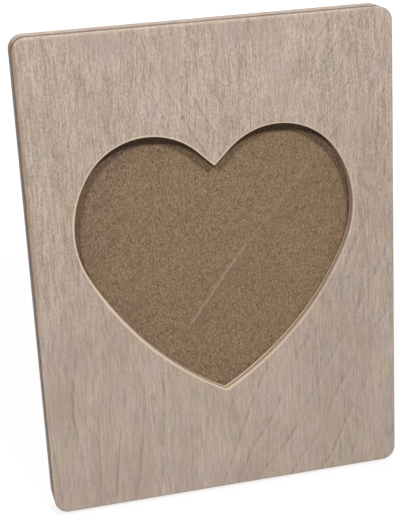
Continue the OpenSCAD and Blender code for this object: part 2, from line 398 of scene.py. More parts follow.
def rounded(width, height, radius, centre=(0, 0)):
    """Anticlockwise outline of a rectangle with round corners."""
    outline = []
    for i, (x, z) in enumerate(((1, 1), (-1, 1), (-1, -1), (1, -1))):
        corner = (centre[0] + x * (width / 2 - radius), centre[1] + z * (height / 2 - radius))
        outline += arc(corner, radius, i * math.pi / 2, (i + 1) * math.pi / 2)
    return outline


def circle(centre, radius, clockwise=False):
    """Outline of a circle."""
    outline = arc(centre, radius, 0, 2 * math.pi, 2 * ARC_STEP)[:-1]
    return outline[::-1] if clockwise else outline


def heart():
    """Clockwise outline of the window, from the cleft down the right side and up the left."""
    sizes = settings("heart_sizes")
    offset, rise = HEART.lobe_offset, HEART.lobe_height
    cleft_r, tip_r = HEART.cleft_radius, HEART.tip_radius
    lobe_r = offset + HEART.lobe_over
    shoulder_r = lobe_r + HEART.shoulder_extra
    flank_r = shoulder_r + HEART.flank_extra
    lobe = Vector((offset, rise))
    shoulder = polar(lobe, lobe_r - shoulder_r, sizes.shoulder_from)
    flank = polar(shoulder, shoulder_r - flank_r, sizes.flank_from)
    straight = sizes.cleft_to
    cleft = Vector((0, rise + (lobe_r + cleft_r + offset * math.cos(straight)) / math.sin(straight)))
    tip = Vector((0, flank.y - math.sqrt((flank_r - tip_r) ** 2 - flank.x ** 2)))
    tip_turn = math.atan2(tip.y - flank.y, -flank.x)
    right = arc(cleft, cleft_r, -math.pi / 2, straight - math.pi, 2 * ARC_STEP)
    right += arc(lobe, lobe_r, straight, sizes.shoulder_from, ARC_STEP / 2)
    right += arc(shoulder, shoulder_r, sizes.shoulder_from, sizes.flank_from, ARC_STEP / 2)[1:]
    right += arc(flank, flank_r, sizes.flank_from, tip_turn, ARC_STEP / 4)[1:]
    right += arc(tip, tip_r, tip_turn, -math.pi / 2, 2 * ARC_STEP)[1:]
    outline = right + [Vector((-p.x, p.y)) for p in right[-2:0:-1]]
    lean = HEART.tip_lean
    return [p + Vector((lean * smooth((LEAN_FROM - p.y) / (LEAN_FROM - LEAN_TO)), 0)) for p in outline]


def smooth(part):
    """A part from 0 to 1, eased at both ends."""
    part = min(1.0, max(0.0, part))
    return part * part * (3 - 2 * part)


def no_wider(point):
    """The extra width of an edge that is sanded alike all round."""
    return 0.0


def lower_left(point):
    """How much wider the window's edge is sanded at a point: most along its lower left."""
    if point.x > 0 or not SANDED_FROM < point.y < SANDED_TO:
        return 0.0
    part = (point.y - SANDED_FROM) / (SANDED_TO - SANDED_FROM)
    return settings("wood_sizes").sanded_wider * math.sin(math.pi * part)


def spaced(outline, step=EDGE_STEP):
    """The outline with its long straight stretches divided into short ones."""
    points = []
    for a, b in zip(outline, outline[1:] + outline[:1]):
        count = max(1, math.ceil((b - a).length / step))
        points += [a.lerp(b, i / count) for i in range(count)]
    return points


def inset(outline, amounts):
    """Each point moved to the left of its outline, which is into the solid, by its own amount."""
    moved = []
    for i, point in enumerate(outline):
        before = (point - outline[i - 1]).normalized()
        after = (outline[(i + 1) % len(outline)] - point).normalized()
        across = Vector((-before.y - after.y, before.x + after.x)).normalized()
        mitre = max(LEAST_MITRE, across.dot(Vector((-after.y, after.x))))
        moved.append(point + across * amounts[i] / mitre)
    return moved


# Meshes


def finished(mesh, name):
    """The bmesh as an object in the scene, shaded smooth."""
    bmesh.ops.remove_doubles(mesh, verts=mesh.verts, dist=SAME_SPOT)
    bmesh.ops.recalc_face_normals(mesh, faces=mesh.faces)
    data = bpy.data.meshes.new(name)
    mesh.to_mesh(data)
    mesh.free()
    data.shade_smooth()
    return in_scene(name, data)


def cap(mesh, rings):
    """Closes a flat end that is bounded by one outer ring and any holes in it."""
    corners = [v for ring in rings for v in ring]
    for triangle in tessellate_polygon([[Vector((v.co.x, v.co.z, 0)) for v in ring] for ring in rings]):
        mesh.faces.new([corners[i] for i in triangle])


def skin(mesh, rings):
    """Joins each ring of points to the next one."""
    for a, b in zip(rings, rings[1:]):
        for i in range(len(a)):
            j = (i + 1) % len(a)
            mesh.faces.new((a[i], a[j], b[j], b[i]))


def plate(name, outlines, near, far, near_arris, far_arris=None, uneven=0.0, slopes=(), wider=()):
    """A flat plate from depth near to far, with rounded edges. The first outline is anticlockwise
    and the rest, which are holes, are clockwise. uneven is how much a rounding varies along its edge.
    For each outline, near_arris may give its own width, slopes how deep its near rounding goes as a
    share of its width, and wider a function that tells how much wider it is at a point."""
    widths = near_arris if isinstance(near_arris, list) else [near_arris] * len(outlines)
    far_arris = widths[0] if far_arris is None else far_arris
    slopes = slopes or [1.0] * len(outlines)
    wider = wider or [no_wider] * len(outlines)
    seed = settings("stage_look").seed
    mesh = bmesh.new()
    ends = ([], [])
    turns = [math.pi / 2 * i / ARRIS_STEPS for i in range(ARRIS_STEPS + 1)]
    for outline, width, slope, extra in zip(outlines, widths, slopes, wider):
        varied = [1 + uneven * noise.noise(Vector((p.x, seed, p.y)) * SANDING_PACE) + extra(p)
                  for p in outline]
        rings = []
        for arris, depth, rise, order in ((width, near, slope, turns), (far_arris, far, -1, turns[::-1])):
            for turn in order:
                points = inset(outline, [arris * v * (1 - math.sin(turn)) for v in varied])
                drop = [rise * arris * v * (1 - math.cos(turn)) for v in varied]
                rings.append([mesh.verts.new((p.x, depth + d, p.y)) for p, d in zip(points, drop)])
        skin(mesh, rings)
        ends[0].append(rings[0])
        ends[1].append(rings[-1])
    for rings in ends:
        cap(mesh, rings)
    return finished(mesh, name)


def bulge(half_width, rise):
    """Radius and half angle of the arc that rises by that much over a straight line."""
    radius = (half_width ** 2 + rise ** 2) / (2 * rise)
    return radius, math.asin(half_width / radius)


def dome(top, radius, rise):
    """The profile of a domed head, from just inside its rim to just short of its top."""
    big, spread = bulge(radius, rise)
    turns = [spread * i / DOME_STEPS for i in range(DOME_STEPS - 1, 0, -1)]
    return [(top - big + big * math.cos(turn), big * math.sin(turn)) for turn in turns]


def turned(name, profile):
    """A solid of revolution about the depth axis, from (depth, radius) pairs that start and end on it."""
    mesh = bmesh.new()
    turns = [2 * math.pi * i / TURN_STEPS for i in range(TURN_STEPS)]
    rings = [[mesh.verts.new((radius * math.cos(turn), depth, radius * math.sin(turn))) for turn in turns]
             for depth, radius in profile[1:-1]]
    skin(mesh, rings)
    for (depth, _), ring in ((profile[0], rings[0]), (profile[-1], rings[-1])):
        tip = mesh.verts.new((0, depth, 0))
        for a, b in zip(ring, ring[1:] + ring[:1]):
            mesh.faces.new((tip, a, b))
    return finished(mesh, name)


def rolled(name, line, thickness, start, end):
    """Sheet metal of that thickness along a line of (depth, height) points, from x start to end."""
    mesh = bmesh.new()
    sides = ([], [])
    for i, point in enumerate(line):
        way = (line[min(i + 1, len(line) - 1)] - line[max(i - 1, 0)]).normalized()
        for side, sign in zip(sides, (1, -1)):
            side.append(point + Vector((-way.y, way.x)) * sign * thickness / 2)
    outline = sides[0] + sides[1][::-1]
    rings = [[mesh.verts.new((x, p.x, p.y)) for p in outline] for x in (start, end)]
    skin(mesh, rings)
    half = len(line)
    for ring in rings:
        for i in range(half - 1):
            mesh.faces.new((ring[i], ring[i + 1], ring[-i - 2], ring[-i - 1]))
    return finished(mesh, name)


def combined(solid, tools, operation):
    """Cuts the tools out of the solid, or joins them to it, and removes them."""
    for tool in tools:
        change = solid.modifiers.new("combine", "BOOLEAN")
        change.operation, change.solver, change.object = operation, "EXACT", tool
    evaluated = solid.evaluated_get(bpy.context.evaluated_depsgraph_get())
    data = bpy.data.meshes.new_from_object(evaluated)
    solid.modifiers.clear()
    solid.data = data
    for tool in tools:
        bpy.data.objects.remove(tool)
    return solid


def softened(piece, width, steps):
    """Rounds the edges that a cut left sharp."""
    bevel = piece.modifiers.new("soften", "BEVEL")
    bevel.width, bevel.segments = width, steps
    bevel.limit_method, bevel.angle_limit = "ANGLE", SHARP_TURN
    bevel.use_clamp_overlap = False
    return piece


def placed(piece, place, node, look):
    """Sets a piece in its place in metres, in the stead of a CAD node, with its material."""
    piece.data.transform(place)
    for modifier in piece.modifiers:
        if modifier.type == "BEVEL":
            modifier.width *= MM
    even = piece.modifiers.new("even_shading", "WEIGHTED_NORMAL")
    even.mode, even.weight = "FACE_AREA", 90
    piece.data.materials.clear()
    piece.data.materials.append(look)
    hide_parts(node)
    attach(piece, body_of(node))
    return piece


# Materials


def feed(tree, socket, value):
    """Links a socket to an input, or sets the input to a plain value."""
    if isinstance(value, bpy.types.NodeSocket):
        tree.links.new(value, socket)
    elif socket.type == "RGBA":
        socket.default_value = (*value, 1.0)
    else:
        socket.default_value = value


def maths(tree, operation, *values):
    """A Math node's result."""
    node = tree.nodes.new("ShaderNodeMath")
    node.operation = operation
    for socket, value in zip(node.inputs, values):
        feed(tree, socket, value)
    return node.outputs[0]


def times(tree, product, *factors):
    """The product of some values."""
    for factor in factors:
        product = maths(tree, "MULTIPLY", product, factor)
    return product


def plus(tree, total, *values):
    """The sum of some values."""
    for value in values:
        total = maths(tree, "ADD", total, value)
    return total


def minus(tree, value, less):
    """The difference of two values."""
    return maths(tree, "SUBTRACT", value, less)


def size_of(tree, value):
    """A value without its sign."""
    return maths(tree, "ABSOLUTE", value)


def vector_maths(tree, operation, *values, output="Vector"):
    """A Vector Math node's result."""
    node = tree.nodes.new("ShaderNodeVectorMath")
    node.operation = operation
    for socket, value in zip(node.inputs, values):
        feed(tree, socket, value)
    return node.outputs[output]


def reach_along(tree, vector, axis):
    """How far a vector reaches along an axis of length 1."""
    return vector_maths(tree, "DOT_PRODUCT", vector, axis, output="Value")


def axes(tree, vector):
    """A vector's parts, as sockets named X, Y and Z."""
    node = tree.nodes.new("ShaderNodeSeparateXYZ")
    feed(tree, node.inputs[0], vector)
    return node.outputs


def joined(tree, x, y, z):
    """A vector from its three parts."""
    node = tree.nodes.new("ShaderNodeCombineXYZ")
    for socket, value in zip(node.inputs, (x, y, z)):
        feed(tree, socket, value)
    return node.outputs[0]


def ramp(tree, value, low, high, out_low=0.0, out_high=1.0):
    """A value that goes smoothly from out_low to out_high as the input goes from low to high."""
    node = tree.nodes.new("ShaderNodeMapRange")
    node.interpolation_type = "SMOOTHSTEP"
    for socket, given in zip(node.inputs, (value, low, high, out_low, out_high)):
        feed(tree, socket, given)
    return node.outputs["Result"]


def mixed(tree, factor, a, b, blend="MIX"):
    """Two colours mixed by a factor."""
    node = tree.nodes.new("ShaderNodeMix")
    node.data_type, node.blend_type = "RGBA", blend
    feed(tree, node.inputs["Factor"], factor)
    feed(tree, node.inputs[6], a)
    feed(tree, node.inputs[7], b)
    return node.outputs[2]


def stretched(tree, vector, size):
    """A vector divided by a size along each axis."""
    return vector_maths(tree, "DIVIDE", vector, size)


def clouds(tree, vector, size, detail, rough, seed, output="Fac"):
    """Smooth noise about as large as size, in millimetres. It is one size or one for each axis.
    detail and rough tell how fine and how strong its small parts are, and seed picks a pattern."""
    if isinstance(size, (int, float)):
        size = (size, size, size)
    node = tree.nodes.new("ShaderNodeTexNoise")
    node.noise_dimensions = "4D"
    feed(tree, node.inputs["Vector"], stretched(tree, vector, size))
    for name, value in (("W", seed), ("Scale", 1.0), ("Detail", detail), ("Roughness", rough)):
        node.inputs[name].default_value = value
    return node.outputs[output]


def wandering(tree, vector, size, rough, seed, reach):
    """A vector that noise moves about, by up to half of reach either way along each axis."""
    moved = clouds(tree, vector, size=size, detail=1, rough=rough, seed=seed, output="Color")
    moved = vector_maths(tree, "SUBTRACT", moved, (0.5, 0.5, 0.5))
    return vector_maths(tree, "ADD", vector, vector_maths(tree, "MULTIPLY", moved, reach))


def wavering(tree, vector, size, detail, seed, reach):
    """Noise about zero, by up to half of reach either way."""
    return times(tree, minus(tree, clouds(tree, vector, size, detail, 0.5, seed), 0.5), reach)


def group_tree(name, inputs, outputs):
    """A new shader node group, with its input sockets by name and those of its output node."""
    tree = bpy.data.node_groups.new(name, "ShaderNodeTree")
    kinds = {"vector": "NodeSocketVector", "colour": "NodeSocketColor", "value": "NodeSocketFloat"}
    for sockets, way in ((inputs, "INPUT"), (outputs, "OUTPUT")):
        for socket, kind in sockets.items():
            tree.interface.new_socket(socket, in_out=way, socket_type=kinds[kind])
    given = tree.nodes.new("NodeGroupInput")
    return tree, given.outputs, tree.nodes.new("NodeGroupOutput").inputs


def growth_lines_group():
    """Growth lines of a peeled veneer: a fan below, that leans to the right, and a bowl above."""
    tree, given, out = group_tree("Growth Lines", {"Vector": "vector", "Spacing": "value"},
                                  {"Line": "value", "Glow": "value"})
    fan_left = 72.0
    fan_below = 250.0
    bowl_middle = 26.0
    bowl_depth = 38.0
    fan_up_to = 22.0
    bowl_from = 54.0
    bent = wandering(tree, given["Vector"], size=(60, 60, 90), rough=0.4, seed=3.1, reach=(20, 0, 24))
    spot = axes(tree, bent)
    x, z = spot["X"], spot["Z"]
    turn = maths(tree, "ARCTAN2", plus(tree, x, fan_left), plus(tree, z, fan_below))
    fan = times(tree, turn, fan_below)
    off_middle = minus(tree, x, bowl_middle)
    bowl = minus(tree, z, maths(tree, "DIVIDE", maths(tree, "POWER", off_middle, 2.0), bowl_depth))
    upper = ramp(tree, z, fan_up_to, bowl_from)
    height = plus(tree, times(tree, fan, minus(tree, 1.0, upper)), times(tree, bowl, upper))
    sway = clouds(tree, given["Vector"], size=(36, 36, 110), detail=1, rough=0.5, seed=8.7)
    steps = plus(tree, maths(tree, "DIVIDE", height, given["Spacing"]), times(tree, sway, 2.2))
    part = maths(tree, "FRACT", steps)
    # The lines fade in places, where the fan turns into the bowl, and at the bowl's sides and middle
    patchy = clouds(tree, given["Vector"], size=(13, 13, 50), detail=2, rough=0.5, seed=5.5)
    change = ramp(tree, size_of(tree, minus(tree, upper, 0.5)), 0.35, 0.5)
    aside = size_of(tree, off_middle)
    sides = ramp(tree, aside, 50.0, 85.0, 1.0, ramp(tree, upper, 0.0, 1.0, 1.0, 0.2))
    middle = ramp(tree, aside, 8.0, 34.0, ramp(tree, upper, 0.0, 1.0, 1.0, 0.15), 1.0)
    strength = times(tree, ramp(tree, patchy, 0.32, 0.6), change, sides, middle)
    line = times(tree, ramp(tree, part, 0.8, 0.95), ramp(tree, part, 0.95, 1.0, 1.0, 0.0))
    feed(tree, out["Line"], times(tree, line, strength))
    feed(tree, out["Glow"], times(tree, ramp(tree, part, 0.25, 0.0), strength))
    return tree


def pores_group():
    """Short dashes along the grain, such as open pores."""
    tree, given, out = group_tree(
        "Pores", {"Vector": "vector", "Width": "value", "Length": "value", "Cover": "value"},
        {"Pore": "value"})
    size = joined(tree, given["Width"], given["Width"], given["Length"])
    dashes = clouds(tree, given["Vector"], size=size, detail=1.5, rough=0.55, seed=1.3)
    edge = minus(tree, 0.78, times(tree, given["Cover"], 0.3))
    feed(tree, out["Pore"], ramp(tree, dashes, edge, plus(tree, edge, 0.13)))
    return tree


def veneer_group(groups):
    """Birch veneer with its grain along Z: streaks, patches, pores and growth lines."""
    tree, given, out = group_tree(
        "Birch Veneer",
        {"Vector": "vector", "Light": "colour", "Dark": "colour", "Blush": "colour", "Pore": "colour",
         "Fibre": "value", "Pore Length": "value", "Ring Spacing": "value", "Figure": "value"},
        {"Color": "colour", "Roughness": "value", "Height": "value"})
    vector, fibre = given["Vector"], given["Fibre"]
    spot = axes(tree, vector)
    upwards = ramp(tree, spot["Z"], -80.0, 60.0)
    along = wandering(tree, vector, size=(9, 9, 22), rough=0.5, seed=2.2, reach=(2.4, 0, 0))
    # A streak is 13 times as long as a fibre is wide
    streak = joined(tree, fibre, fibre, times(tree, fibre, 13.0))
    fine = clouds(tree, along, size=streak, detail=2, rough=0.6, seed=0.4)
    tone = times(tree, ramp(tree, fine, 0.38, 0.62), plus(tree, 0.34, times(tree, upwards, 0.12)))
    # Streaks, broad bands and blotches
    for size, seed, strength in (((1.1, 1.1, 14), 5.7, 0.19), ((7, 7, 70), 6.1, 0.12),
                                 ((14, 14, 24), 4.4, 0.1)):
        layer = clouds(tree, along, size=size, detail=2, rough=0.5, seed=seed)
        tone = plus(tree, tone, ramp(tree, layer, 0.34, 0.66, 0.0, strength))
    crumbs = clouds(tree, along, size=(0.6, 0.6, 1.1), detail=1, rough=0.5, seed=7.3)
    crumbs = times(tree, ramp(tree, crumbs, 0.38, 0.62, -0.2, 0.2),
                   plus(tree, 0.3, times(tree, upwards, 0.65)))
    # Painted light: the veneer is painted a little paler at the bottom, where the lamps' light falls off,
    # and it is darker at the right
    tone = plus(tree, tone, crumbs, ramp(tree, spot["Z"], -90.0, -20.0, -0.07, 0.0),
                ramp(tree, spot["X"], 20.0, 75.0, 0.0, 0.06))
    shade = mixed(tree, tone, given["Light"], given["Dark"])
    patch = ramp(tree, clouds(tree, vector, size=(20, 20, 38), detail=3, rough=0.55, seed=9.2), 0.47, 0.72)
    patch = times(tree, patch, ramp(tree, spot["X"], -75.0, -20.0, 0.85, 0.6))
    shade = mixed(tree, patch, shade, given["Blush"])
    hue = ramp(tree, clouds(tree, vector, size=(12, 12, 17), detail=3, rough=0.6, seed=2.7), 0.4, 0.6)
    low_tint = mixed(tree, hue, (1.0, 1.0, 0.96), (0.99, 0.972, 1.03))
    high_tint = mixed(tree, hue, (1.0, 0.98, 0.945), (1.0, 1.005, 1.03))
    shade = mixed(tree, 1.0, shade, mixed(tree, upwards, low_tint, high_tint), "MULTIPLY")
    pores = both_pores(tree, groups["Pores"], vector, fibre, given["Pore Length"])
    shade = mixed(tree, pores, shade, given["Pore"])
    rings = placed_group(tree, groups["Growth Lines"], {"Vector": vector, "Spacing": given["Ring Spacing"]})
    line = times(tree, rings["Line"], given["Figure"], ramp(tree, fine, 0.34, 0.6, 0.08, 0.42))
    shade = mixed(tree, line, shade, given["Pore"])
    glow = times(tree, rings["Glow"], given["Figure"], 0.3)
    feed(tree, out["Color"], mixed(tree, glow, shade, given["Light"]))
    feed(tree, out["Roughness"], plus(tree, 0.56, times(tree, tone, 0.16)))
    feed(tree, out["Height"], minus(tree, times(tree, fine, 0.35), pores))
    return tree


def placed_group(tree, group, values):
    """The outputs of a node group set into a tree with these input values."""
    node = tree.nodes.new("ShaderNodeGroup")
    node.node_tree = group
    for name, value in values.items():
        feed(tree, node.inputs[name], value)
    return node.outputs


def both_pores(tree, group, vector, width, pore_length):
    """A mask of fine short pores and sparser long ones."""
    short = placed_group(tree, group, {
        "Vector": vector, "Width": times(tree, width, 0.42), "Length": times(tree, pore_length, 0.5),
        "Cover": 0.62})
    elsewhere = vector_maths(tree, "ADD", vector, (311, 17, 53))
    long = placed_group(tree, group, {
        "Vector": elsewhere, "Width": width, "Length": times(tree, pore_length, 1.5), "Cover": 0.5})
    return maths(tree, "MAXIMUM", times(tree, short["Pore"], 0.34), times(tree, long["Pore"], 0.3))


def plies_group():
    """Layers across the depth: masks of the glue lines and of the plies that run crosswise."""
    tree, given, out = group_tree(
        "Plies", {"Vector": "vector", "First": "value", "Last": "value", "Thickness": "value"},
        {"Glue": "value", "Cross": "value"})
    vector, thickness = given["Vector"], given["Thickness"]
    waver = wavering(tree, vector, size=9, detail=2, seed=7.7, reach=0.34)
    depth = minus(tree, plus(tree, axes(tree, vector)["Y"], waver), given["First"])
    layer = maths(tree, "DIVIDE", depth, thickness)
    nearest = size_of(tree, minus(tree, maths(tree, "FRACT", plus(tree, layer, 0.5)), 0.5))
    count = maths(tree, "DIVIDE", minus(tree, given["Last"], given["First"]), thickness)
    inside = times(tree, maths(tree, "GREATER_THAN", layer, 0.5),
                   maths(tree, "LESS_THAN", layer, minus(tree, count, 0.5)))
    patchy = ramp(tree, clouds(tree, vector, size=3, detail=2, rough=0.6, seed=2.9), 0.3, 0.6, 0.35, 1.0)
    glue = ramp(tree, times(tree, nearest, thickness), 0.05, 0.2, 1.0, 0.0)
    feed(tree, out["Glue"], times(tree, glue, patchy, inside))
    from_cross = size_of(tree, minus(tree, maths(tree, "FRACT", times(tree, layer, 0.5)), 0.75))
    feed(tree, out["Cross"], times(tree, ramp(tree, from_cross, 0.12, 0.24, 1.0, 0.0), inside))
    return tree


def hardboard_group():
    """Pressed fibres: dark and pale flecks over soft patches."""
    tree, given, out = group_tree(
        "Hardboard",
        {"Vector": "vector", "Mid": "colour", "Dark": "colour", "Light": "colour", "Bruise": "colour",
         "Fibre": "value"},
        {"Color": "colour", "Roughness": "value", "Height": "value"})
    vector, fibre = given["Vector"], given["Fibre"]
    grid = stretched(tree, vector, joined(tree, fibre, fibre, fibre))
    grain = clouds(tree, grid, size=1, detail=1.5, rough=0.6, seed=1.9)
    curls = clouds(tree, grid, size=(0.8, 1, 1.7), detail=1.5, rough=0.6, seed=5.2)
    # Purple patches grow stronger away from a spot right of the middle, whatever the depth; near the
    # window's edge they are partly painted shade
    from_spot = vector_maths(tree, "MULTIPLY", vector_maths(tree, "ADD", vector, (-16, 0, -8)), (1, 0, 1))
    outwards = ramp(tree, vector_maths(tree, "LENGTH", from_spot, output="Value"), 40.0, 68.0, 0.12, 0.85)
    patch = ramp(tree, clouds(tree, vector, size=15, detail=3, rough=0.55, seed=3.3), 0.34, 0.58)
    shade = mixed(tree, times(tree, patch, outwards), given["Mid"], given["Bruise"])
    shade = mixed(tree, ramp(tree, grain, 0.4, 0.66, 0.0, 0.72), shade, given["Dark"])
    shade = mixed(tree, ramp(tree, curls, 0.42, 0.68, 0.0, 0.66), shade, given["Light"])
    speck = ramp(tree, clouds(tree, vector, size=0.9, detail=0, rough=0.5, seed=6.6), 0.72, 0.77, 0.0, 0.6)
    feed(tree, out["Color"], mixed(tree, speck, shade, given["Dark"]))
    feed(tree, out["Roughness"], ramp(tree, grain, 0.3, 0.7, 0.5, 0.68))
    feed(tree, out["Height"], plus(tree, grain, times(tree, curls, 0.6)))
    return tree


def plating_group():
    """Zinc plating that handling has dulled in places, with fine scratches along X."""
    tree, given, out = group_tree(
        "Plating", {"Vector": "vector", "Bright": "colour", "Dull": "colour", "Size": "value"},
        {"Color": "colour", "Roughness": "value", "Height": "value"})
    grid = stretched(tree, given["Vector"], joined(tree, given["Size"], given["Size"], given["Size"]))
    dull = ramp(tree, clouds(tree, grid, size=1, detail=4, rough=0.6, seed=2.4), 0.4, 0.68)
    scratch = clouds(tree, grid, size=(2.4, 0.06, 0.06), detail=2, rough=0.6, seed=7.1)
    shade = mixed(tree, times(tree, dull, 0.75), given["Bright"], given["Dull"])
    feed(tree, out["Color"], mixed(tree, ramp(tree, scratch, 0.6, 0.8, 0.0, 0.3), shade, given["Dull"]))
    feed(tree, out["Roughness"], plus(tree, 0.24, times(tree, dull, 0.26)))
    feed(tree, out["Height"], scratch)
    return tree


def smudges_group():
    """Faint wiped smears, for the roughness of a clear sheet."""
    tree, given, out = group_tree("Smudges", {"Vector": "vector"}, {"Roughness": "value"})
    smear = clouds(tree, given["Vector"], size=(22, 22, 9), detail=3, rough=0.6, seed=4.8)
    feed(tree, out["Roughness"], ramp(tree, smear, 0.45, 0.75, 0.02, 0.09))
    return tree


def node_groups():
    """All the shared node groups, made once."""
    groups = {"Growth Lines": growth_lines_group(), "Pores": pores_group()}
    groups["Birch Veneer"] = veneer_group(groups)
    for name, made in (("Plies", plies_group), ("Hardboard", hardboard_group),
                       ("Plating", plating_group), ("Smudges", smudges_group)):
        groups[name] = made()
    return groups


def shared_group(name):
    """One of the shared node groups."""
    if name not in bpy.data.node_groups:
        node_groups()
    return bpy.data.node_groups[name]


def new_material(name, place):
    """A material with its tree, its Principled node and coordinates in a place's millimetres."""
    material = bpy.data.materials.new(name)
    material.use_nodes = True
    tree = material.node_tree
    into = place.inverted()
    mapping = tree.nodes.new("ShaderNodeMapping")
    mapping.inputs["Location"].default_value = into.to_translation()
    mapping.inputs["Rotation"].default_value = into.to_euler()
    mapping.inputs["Scale"].default_value = into.to_scale()
    coordinates = tree.nodes.new("ShaderNodeTexCoord")
    tree.links.new(coordinates.outputs["Object"], mapping.inputs["Vector"])
    return material, tree, tree.nodes["Principled BSDF"], mapping.outputs["Vector"]


def flatness(tree, place):
    """How squarely a surface faces along a place's depth, from 0 to 1."""
    normal = tree.nodes.new("ShaderNodeTexCoord").outputs["Normal"]
    axis = (place.to_3x3() @ Vector((0, 1, 0))).normalized()
    return size_of(tree, reach_along(tree, normal, axis))


def bump(tree, shader, height, strength, distance):
    """Raises the shader's surface by a height."""
    node = tree.nodes.new("ShaderNodeBump")
    node.inputs["Strength"].default_value = strength
    node.inputs["Distance"].default_value = distance
    feed(tree, node.inputs["Height"], height)
    tree.links.new(node.outputs[0], shader.inputs["Normal"])


def plywood(name, first, last, ply, figure, pale, crossed):
    """Birch plywood with plies between two depths. figure is the strength of its growth lines, pale
    that of its sanded edges, which are partly a painted highlight, and crossed that of the crosswise
    plies and the glue between them."""
    look = settings("wood_look")
    material, tree, shader, vector = new_material(name, PANEL)
    veneer = shared_group("Birch Veneer")
    common = {"Pore": look.pore, "Fibre": VENEER.fibre_width, "Pore Length": VENEER.pore_length,
              "Ring Spacing": VENEER.ring_spacing}
    face = placed_group(tree, veneer, {"Vector": vector, "Light": look.light, "Dark": look.dark,
                                       "Blush": look.blush, "Figure": figure, **common})
    crosswise = tree.nodes.new("ShaderNodeMapping")
    crosswise.inputs["Rotation"].default_value = (0, math.pi / 2, 0)
    feed(tree, crosswise.inputs["Vector"], vector)
    core = placed_group(tree, veneer, {"Vector": crosswise.outputs[0], "Light": look.blush,
                                       "Dark": look.cross, "Blush": look.cross, "Figure": 0.0, **common})
    plies = placed_group(tree, shared_group("Plies"), {"Vector": vector, "First": first, "Last": last,
                                                       "Thickness": ply})
    spot = axes(tree, vector)
    flat = flatness(tree, PANEL)
    wall = ramp(tree, flat, 0.35, 0.8, 1.0, 0.0)
    outer = maths(tree, "MAXIMUM", *[ramp(tree, size_of(tree, spot[axis]), edge - 3, edge - 1)
                                     for axis, edge in (("X", FRONT_HIGH.x), ("Z", FRONT_HIGH.z))])
    # Sanding cut the pale wood open, more along the window than outside; the pale rim is also a painted
    # highlight, and it is painted less pale on the right, where the lamps light it more
    sanded = times(tree, ramp(tree, flat, 0.998, 0.99998, pale, 0.0),
                   minus(tree, 1.0, times(tree, outer, 0.8)), ramp(tree, spot["X"], 0.0, 50.0, 1.0, 0.5))
    # Painted light: the window's wall takes the paler Sawn Wall colour, for the light that falls on it
    shade = mixed(tree, sanded, face["Color"], mixed(tree, wall, look.fresh, look.sawn))
    shade = mixed(tree, times(tree, plies["Cross"], wall, crossed), shade, core["Color"])
    shade = mixed(tree, times(tree, plies["Glue"], wall, 0.6 * crossed), shade, look.glue)
    # Painted shade: the left edge is darker from its middle up, where that side is turned from the lamps
    left_edge_shade = times(tree, ramp(tree, spot["Z"], -50.0, 10.0),
                    ramp(tree, spot["X"], FRONT_LOW.x + 0.5, FRONT_LOW.x + 2.5, 0.5, 0.0))
    shade = mixed(tree, left_edge_shade, shade, look.cross)
    # The wood beside the seam is dark, with a ragged edge: partly glue, and partly painted shade in the gap
    # between the layers
    ragged = clouds(tree, vector, size=(5.5, 0.9, 5.5), detail=3, rough=0.65, seed=8.3)
    reach = ramp(tree, ragged, 0.34, 0.62, 0.6, 1.9)
    from_seam = size_of(tree, minus(tree, spot["Y"], FRONT_HIGH.y))
    seam_darkening = times(tree, ramp(tree, minus(tree, from_seam, reach), 0.0, 0.7, 1.0, 0.0), wall, outer, 0.88)
    shader.inputs["Specular IOR Level"].default_value = 0.2
    feed(tree, shader.inputs["Base Color"], mixed(tree, seam_darkening, shade, look.glue))
    feed(tree, shader.inputs["Roughness"], face["Roughness"])
    bump(tree, shader, face["Height"], strength=0.35, distance=0.00012)
    return material


def hardboard(name, place, marked=False):
    """Brown hardboard with paler sawn edges; where it is marked, a pale line on it and painted shade
    towards the window's edge.
    """
    look = settings("board_look")
    material, tree, shader, vector = new_material(name, place)
    fibres = placed_group(tree, shared_group("Hardboard"), {
        "Vector": vector, "Mid": look.mid, "Dark": look.dark, "Light": look.light,
        "Bruise": look.bruise, "Fibre": FIBRES.fibre})
    shade = mixed(tree, ramp(tree, flatness(tree, place), 0.3, 0.9, 0.6, 0.0), fibres["Color"], look.cut)
    if marked:
        shade = pale_line_mark(tree, vector, shade, look)
        # Painted shade: a little darker towards the sides and the top, near the window's edge where the
        # wood shades the board
        spot = axes(tree, vector)
        rim = maths(tree, "MAXIMUM", ramp(tree, size_of(tree, spot["X"]), 38.0, 60.0),
                    ramp(tree, spot["Z"], 38.0, 58.0, 0.0, 1.5))
        shade = mixed(tree, times(tree, rim, 0.12), shade, look.dark)
    shader.inputs["Specular IOR Level"].default_value = 0.1
    feed(tree, shader.inputs["Base Color"], shade)
    feed(tree, shader.inputs["Roughness"], fibres["Roughness"])
    bump(tree, shader, fibres["Height"], strength=0.3, distance=0.00015)
    return material


